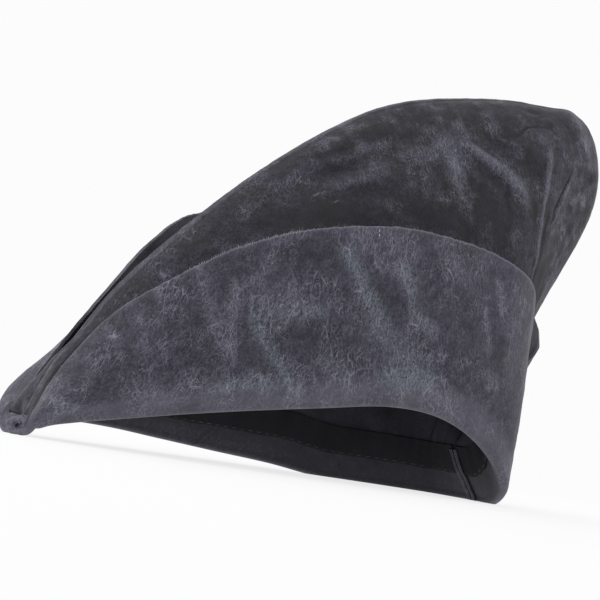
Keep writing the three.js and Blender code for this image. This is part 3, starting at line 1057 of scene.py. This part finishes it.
def crown_wear_and_painted_light(points, side, t, v, to_ridge, band, front):
    """Where wear and painted light pale the panel, and what else changes how pale it is, painted
    shade included.
    """
    worn_ridge = 0.12 * band + 0.09 * smooth(to_ridge, 10, 4) * smooth(t, 0.62, 0.5)
    # painted light at the front, where the tip lies in shade
    painted_light_front = 0.12 * smooth(t, 0.16, 0.1) if side < 0 else 0.08 * smooth(t, 0.22, 0.12)
    handled_and_lit = (worn_ridge + painted_light_front) * (1 + 1.1 * fluff(points, 2.6, 23))
    # painted shade in the seam's valley and along the edge of its band
    wear_and_shade = -(0.6 + 1.4 * front) * hill(to_ridge, 0, 0.7) - 0.25 * hill(to_ridge, 5.4, 0.9)
    # the heel is mottled high up and dark low down
    wear_and_shade += 0.55 * smooth(t, 0.755, 0.8) * fluff(points, 8, 41)
    wear_and_shade -= 0.5 * smooth(t, 0.765, 0.8) * smooth(v, 0.6, 0.35)
    # the top is darker in blotches: painted shade against the light from above
    top = smooth(to_ridge, 45, 12) * smooth(t, 0.35, 0.5) * smooth(t, 0.8, 0.74)
    return handled_and_lit, wear_and_shade - 0.16 * top * (1 + 3 * fluff(points, 9, 43))


print("ready to shape the crown")

# %% Shape the crown panels
for word, side in SIDE.items():
    name = "crown_" + word
    panel = lambda t, v, word=word: crown_points(word, t, v)
    along = spread(panel, CROWN_NET[0], 1.6)
    points = net(panel, along, crown_across)
    normals = grain_side(points, side)
    t, v = np.meshgrid(along, crown_across, indexing="ij")
    steps = np.linalg.norm(np.diff(points, axis=1), axis=2)
    below = np.concatenate([np.zeros((len(steps), 1)), np.cumsum(steps, axis=1)], axis=1)
    to_ridge = below[:, -1:] - below  # millimetres left to the ridge
    height, wear_and_shade = wrinkled(name, points, panel)
    for ct, cv, rt, rv, left, right in DENTS:
        height -= (left if side > 0 else right) * hill(t, ct, rt) * hill(v, cv, rv)
    free, waves = crown_waves(points, side, t, below, to_ridge)
    height = (height + waves) * free + crown_swell(side, t, v, below, to_ridge)
    height += 0.14 * fluff(points, 5, 14) * smooth(to_ridge, 0, 6)
    # the ridge seam: a valley, and a pressed band beside it, lumpy from the stitches
    band = smooth(to_ridge, 0.4, 1.6) * smooth(to_ridge, 5.2, 3.6)
    front = smooth(t, 0.22, 0.14)
    height += 0.4 * band * (1 + 0.5 * fluff(points, 7, 21))
    height -= (0.8 + 0.5 * front) * hill(to_ridge, 0, 0.8)
    handled_and_lit, crown_shade_and_mottle = crown_wear_and_painted_light(points, side, t, v, to_ridge, band, front)
    points = points + normals * height[..., None]
    points = pulled(points, word, t, np.exp(-below / 12))
    pale, faded = clouded(name, points, panel)
    nets[name] = (points, grain_side(points, side), t, v)
    panels[name] = {"wear_and_shade": wear_and_shade + crown_shade_and_mottle + pale, "faded": faded, "handled_and_lit": handled_and_lit}
    print(name, "net", points.shape, "highest mm", round(float(points[..., 2].max()), 1))

# %% Cut and thicken the crown panels
for word, side in SIDE.items():
    name = "crown_" + word
    patch = flat_patch(name + "_leather", CROWN_NET)
    lay(patch, nets[name][0], side, panels[name])
    thicken(patch, WALL, (crown_grain, flesh, cut_edge))
    trim(patch, side)
    finish_piece(patch, "crown_leather", name)

# %% [markdown]
# ## The head seam from the inside
# Where crown and brim are sewn together, the spare leather is turned down over the
# inner leg and held by a second row of stitches near its lower edge. The strip is
# the top of the brim's own net, set inwards by its thickness, so it follows every
# pucker. A stitch is modelled once, as a small bead stretched into a grain of rice,
# and copied along the strip.

# %% Turned seam allowance
TURNED = 0.9  # thickness of the turned strip, skived thinner than the hide
CLEAR = 0.15  # between the strip and the leg
STRIP_ROWS = 12  # rows of the brim's net that the strip covers


def strip(name, points, side, thickness, materials, wear_and_shade=0.0):
    """A thin band of leather laid on a net of points."""
    patch = flat_patch(name, (points.shape[0] - 1, points.shape[1] - 1))
    lay(patch, points, side, {"wear_and_shade": np.full(points.shape[:2], wear_and_shade)})
    thicken(patch, thickness, materials)
    return patch


stitch_lines = {}
for word, side in SIDE.items():
    points, normals, t, _ = nets["brim_" + word]
    keep = (t[:, 0] > 0.1) & (t[:, 0] < 0.997)
    points, normals = points[keep][:, :STRIP_ROWS], normals[keep][:, :STRIP_ROWS]
    rows = points + normals * (0.5 * WALL + CLEAR + 0.5 * TURNED)
    above = rows[:, 0] + unit(rows[:, 0] - rows[:, 2]) * 1.6
    rows = np.concatenate([above[:, None], rows], axis=1)
    # the knife wandered along its lower edge, and the thread pulls it in
    down, edge = unit(rows[:, -1] - rows[:, -3]), rows[:, -1:]
    rows[:, -1] += down * (0.7 * fluff(edge, 11, 17) + 0.3 * fluff(edge, 3, 19))
    rows[:, -1] -= normals[:, -1] * 0.3
    piece = strip("head_seam_allowance_" + word, rows, side, TURNED, (turned_leather,))
    trim(piece, side)
    finish_piece(piece, "brim_leather")
    stitch_lines[word] = (rows[:, -2] + normals[:, -2] * 0.5 * TURNED, normals[:, -2])

# %% Stitches
STITCH = (4.0, 0.95, 0.7)  # length, width and height of a stitch
PITCH = 6.5  # from one stitch to the next


def stitch_row(name, line, normals, material, pitch=PITCH, size=STITCH):
    """Copies one stitch along a line of points, flat on the leather."""
    deselect()
    bpy.ops.mesh.primitive_uv_sphere_add(segments=6, ring_count=5, radius=0.5)
    first = bpy.context.object
    first.data.transform(Matrix.Diagonal((*(extent * MM for extent in size), 1.0)))
    first.data.materials.append(material)
    steps = np.linalg.norm(np.diff(line, axis=0), axis=1)
    run = np.concatenate([[0], np.cumsum(steps)])
    at = lambda place, rows: np.array([np.interp(place, run, rows[:, c]) for c in range(3)])
    places = []
    for k, place in enumerate(np.arange(0.5 * pitch, run[-1], pitch)):
        here = at(place, line)
        along = Vector(at(place + 1.0, line) - here).normalized()
        across = Vector(at(place, normals)).normalized().cross(along).normalized()
        turn = Matrix((along, across, along.cross(across))).transposed().to_4x4()
        # no two stitches lie quite alike
        turn = turn @ Matrix.Rotation(0.09 * math.sin(2.3 * k), 4, "Z")
        places.append(Matrix.Translation(Vector(here - [0, CENTRE_Y, 0]) * MM) @ turn)
    return sown(first, name, places)


for word, (line, normals) in stitch_lines.items():
    row = stitch_row("head_seam_stitches_" + word, line, normals, thread)
    finish_piece(row, "thread", angle=60)

# %% [markdown]
# ## Seams down the middle
# The two brim bands meet at the back, where their spare edges are pressed open into
# two raised strips on the inner leg. Along the ridge the crown's two spare edges
# stand inwards together, which also closes the seam to the light. Both are thin
# strips on nets of points that are worked out from the seam itself.

# %% Back seam strips
PRESSED = 1.2  # thickness of the spare leather, pressed open
for word, side in SIDE.items():
    across, down = np.linspace(0.0, 1.0, 7), np.linspace(0.004, 0.232, 31)
    t, s = np.meshgrid(1 - (0.0035 + 0.0125 * across[::-1]), down, indexing="ij")
    points = brim_points(word, t.ravel(), s.ravel()).reshape(*t.shape, 3)
    normals = grain_side(points, side)
    # it lies on the leg, over the turned strip at the top, and bulges in its middle
    lift = 0.5 * WALL + 0.1 + 0.5 * PRESSED + TURNED * smooth(s, 0.13, 0.09)
    lift = lift + 0.5 * np.sin(math.pi * across[::-1])[:, None] + 0.2 * fluff(points, 6, 4)
    points = points + normals * lift[..., None]
    leathers = (brim_grain, flesh, flesh)
    # darker by painted shade, as it lies on the shaded inner leg
    piece = strip("back_seam_allowance_" + word, points, side, PRESSED, leathers, -0.35)
    trim(piece, side)
    finish_piece(piece, "brim_leather")

# %% Ridge seam allowance
t = np.linspace(0.04, 0.985, 231)
ridge = crown_points("left", t, 0 * t + 1)
ridge[:, 0] = 0
run_on = unit(np.gradient(ridge, axis=0))
inwards = np.stack([0 * t, run_on[:, 2], -run_on[:, 1]], 1)
drop = np.linspace(1.9, 8.5, 9)  # millimetres below the ridge
points = ridge[:, None] + inwards[:, None] * drop[None, :, None]
points[..., 0] += 0.4 * np.sin(9 * t)[:, None] * smooth(drop, 2.5, 8.5)[None]
piece = strip("ridge_seam_allowance", points, 1, 2.0, (turned_leather,))
finish_piece(piece, "crown_leather")

# %% [markdown]
# ## The rolled tip
# At the tip the spare leather of both bands is rolled up into a short plug, which
# shows as a small crumpled ring round a dark hole. A torus is the natural start: it
# is turned to face forwards, squeezed to the tip's own size, and crumpled by noise.

# %% Tip roll
TIP_PLACE = Vector((6.2, -193.1, 5.0)) * MM
TIP_FACING = Vector((0.55, -0.83, 0.08)).normalized()
deselect()
bpy.ops.mesh.primitive_torus_add(
    major_segments=72, minor_segments=36, major_radius=4.0 * MM, minor_radius=2.5 * MM
)
tip = bpy.context.object
tip.name = tip.data.name = "tip_roll"
tip.data.transform(Matrix.Diagonal((1.3, 0.84, 1.0, 1.0)))
for corner in tip.data.vertices:
    place = Vector(corner.co) / MM
    lump = noise.fractal(place / 3.0, 1.0, 2.0, 2) + 0.7 * noise.noise(place / 1.4)
    corner.co += corner.normal * lump * 0.8 * MM
aim = TIP_FACING.to_track_quat("Z", "Y").to_matrix().to_4x4()
tip.data.transform(Matrix.Translation(TIP_PLACE) @ aim)
trim(tip)
tip.data.materials.append(brim_grain)
tone_field = tip.data.attributes.new("handled_and_lit", "FLOAT", "POINT")
tone_field.data.foreach_set("value", [0.55] * len(tip.data.vertices))
finish_piece(tip, "brim_leather", angle=60)

# %% [markdown]
# ## Loose fibres and tacking stitches
# A knife leaves a fine fuzz of fibres on the cut edge of the wing. One fibre is a
# cone with four sides, and each copy leans its own way. Two pale tacking stitches
# are left in the edge above the widest part of the head.

# %% Edge fibres
FIBRES = 420
FRAYED = 0.4  # the t where the edge is most frayed
deselect()
bpy.ops.mesh.primitive_cone_add(vertices=4, radius1=0.16 * MM, radius2=0.03 * MM, depth=1.3 * MM)
fibre = bpy.context.object
fibre.data.transform(Matrix.Translation((0, 0, 0.5 * MM)))
fibre.data.materials.append(dry_fibre)
points, normals, t, _ = nets["brim_left"]
edge, lift = points[:, -1] - [0, CENTRE_Y, 0], unit(points[:, -1] - points[:, -4])
dice = np.random.default_rng(7)
noise.seed_set(7)  # or each fibre would lean another way in every run
places = []
for k in range(FIBRES):
    where = 0.13 + 0.5 * dice.random() if k % 2 else dice.normal(FRAYED, 0.045)
    size = 0.3 + (0.5 + 0.6 * hill(where, FRAYED, 0.07)) * dice.random() ** 1.5
    column = int(np.searchsorted(t[:, 0], where))
    aside = noise.noise_vector(Vector((k * 1.7, 3.1, 0.4)))
    grow = Vector(lift[column]) + 1.4 * aside
    across = 0.8 * math.sin(5.1 * k)  # millimetres from the middle of the edge
    place = (Vector(edge[column]) + Vector(normals[column, -1]) * across) * MM
    turn = grow.to_track_quat("Z", "Y").to_matrix().to_4x4()
    places.append(Matrix.Translation(place) @ turn @ Matrix.Scale(size, 4))
finish_piece(sown(fibre, "edge_fibres", places), "brim_leather")

# %% Tacking stitches
TACKED = 0.549  # the t where they stand
upright = np.linspace(0.985, 0.925, 12)
line = brim_points("left", 0 * upright + TACKED, ARC_END + (1 - ARC_END) * upright)
outwards = np.repeat(outward("left", np.array([TACKED])), len(upright), axis=0)
line = line + outwards * (0.5 * WALL + 0.35)
row = stitch_row("tacking_stitches", line, outwards, pale_thread, 2.6, (2.0, 0.6, 0.5))
finish_piece(row, "thread", angle=60)

# %% [markdown]
# ## The floor, the light and the camera
# A photographer would stand the hat on a white shooting table that is lit from
# below, under large soft lamps. The floor is a wide disc of pale paper that gives
# off most of its own light, as such a table does, and turns into the same plain
# light as the surroundings, so no horizon shows. The camera is low and close to the
# floor, a little turned about its own line of sight, as in the photograph.

# %% Floor
FLOOR_RADIUS = 12  # metres, as the distances below
bpy.ops.mesh.primitive_circle_add(vertices=96, radius=FLOOR_RADIUS, fill_type="NGON")
floor = bpy.context.object
floor.name = floor.data.name = "studio_floor"
settings = {"Base Color": colour("#e9e9ea"), "Roughness": 0.9}
paper, tree, shader = material("pale_studio_paper", settings)
glow = add(tree, "Emission", {"Color": colour("#fcfcfd"), "Strength": 1.0})
place = add(tree, "TexCoord").outputs["Object"]
reach = add(tree, "VectorMath", {0: place}, operation="LENGTH")
# eight tenths light under the hat, all light 1.6 m away
fade = {"Value": reach.outputs["Value"], "From Min": 0.4, "From Max": 1.6, "To Min": 0.8}
share = add(tree, "MapRange", fade, interpolation_type="SMOOTHSTEP")
blend = add(tree, "MixShader", {0: share, 1: shader.outputs[0], 2: glow.outputs[0]})
tree.links.new(blend.outputs[0], tree.nodes["Material Output"].inputs["Surface"])
floor.data.materials.append(paper)
print("floor radius, metres:", FLOOR_RADIUS)

# %% Light
world = bpy.data.worlds.new("soft_room")
world.use_nodes = True
bpy.context.scene.world = world
sky = world.node_tree.nodes["Background"]
sky.inputs["Color"].default_value = colour("#fdfdfe")
sky.inputs["Strength"].default_value = 0.99
bpy.context.scene.view_settings.view_transform = "Standard"

# place | what it is aimed at | width and height | watts
LAMPS = {
    "key_softbox": [(0.5, -0.7, 2.0), (0, 0, 0.12), 1.4, 9],
    "front_softbox": [(-0.9, -1.8, 0.8), (0, -0.1, 0.1), 1.0, 9],
    "rim_softbox": [(-1.4, 0.6, 1.4), (0, 0, 0.15), 1.0, 6],
}
for name, (place, target, size, watts) in LAMPS.items():
    light = bpy.data.lights.new(name, "AREA")
    light.shape, light.size, light.size_y, light.energy = "RECTANGLE", size, size, watts
    lamp = bpy.data.objects.new(name, light)
    bpy.context.scene.collection.objects.link(lamp)
    lamp.location = place
    lamp.rotation_euler = (Vector(target) - Vector(place)).to_track_quat("-Z", "Y").to_euler()
print("lights:", list(LAMPS))

# %% Camera
AZIMUTH, ROLL = math.radians(60), math.radians(9)
HEIGHT, DISTANCE = 0.0225, 1.0  # above the floor, and from the target in plan
TARGET = Vector((0, -CENTRE_Y * MM, 0.1071))
bpy.ops.object.camera_add()
camera = bpy.context.object
camera.name = "photo_camera"
camera.data.lens, camera.data.sensor_width = 97, 36
camera.data.clip_start, camera.data.clip_end = 0.05, 60
away = Vector((math.sin(AZIMUTH), -math.cos(AZIMUTH), 0)) * DISTANCE
camera.location = Vector((TARGET.x, TARGET.y, HEIGHT)) + away
camera.rotation_mode = "QUATERNION"
turned = (TARGET - camera.location).to_track_quat("-Z", "Y")
camera.rotation_quaternion = turned @ Quaternion((0, 0, 1), ROLL)
bpy.context.scene.camera = camera
print("camera at", [round(x, 4) for x in camera.location])
